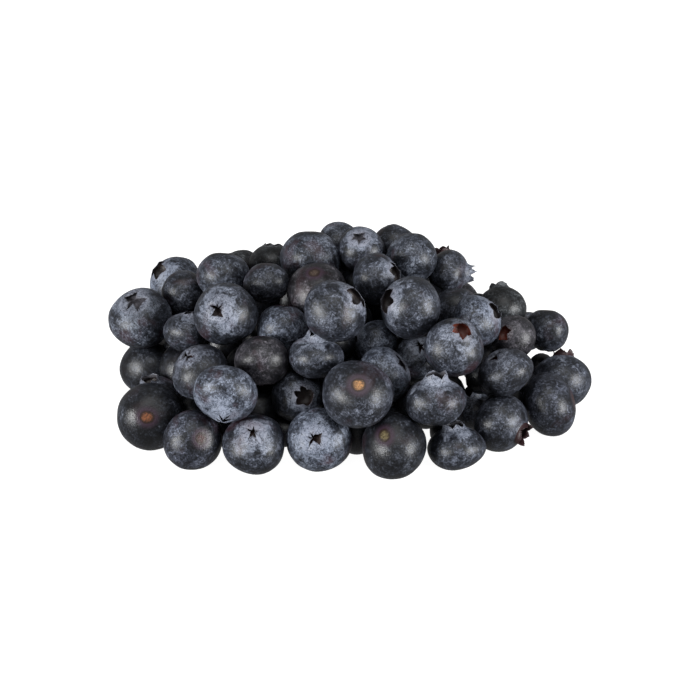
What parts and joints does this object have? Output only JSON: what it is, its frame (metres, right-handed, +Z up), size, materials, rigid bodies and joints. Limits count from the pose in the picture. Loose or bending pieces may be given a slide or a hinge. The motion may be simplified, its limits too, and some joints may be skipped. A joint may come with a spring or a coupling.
{
  "type": "heap of blueberries",
  "caption": "Loose low heap of fresh blueberries lying on a flat surface, dark blue with pale bloom, small star-shaped crowns and stem scars.",
  "frame": {"origin": "a point of the flat underside, below the front part of the heap's middle, on the surface that the heap lies on", "axes": "+X along the heap's width, to the right as seen from the front; +Y from the front to the back; +Z up"},
  "size_m": [0.1342, 0.112, 0.0468],
  "materials": {
    "berry_skin": "waxy bloom over dark skin"
  },
  "bodies": {
    "root": {"berry_heap": "berry_skin"}
  },
  "joints": []
}
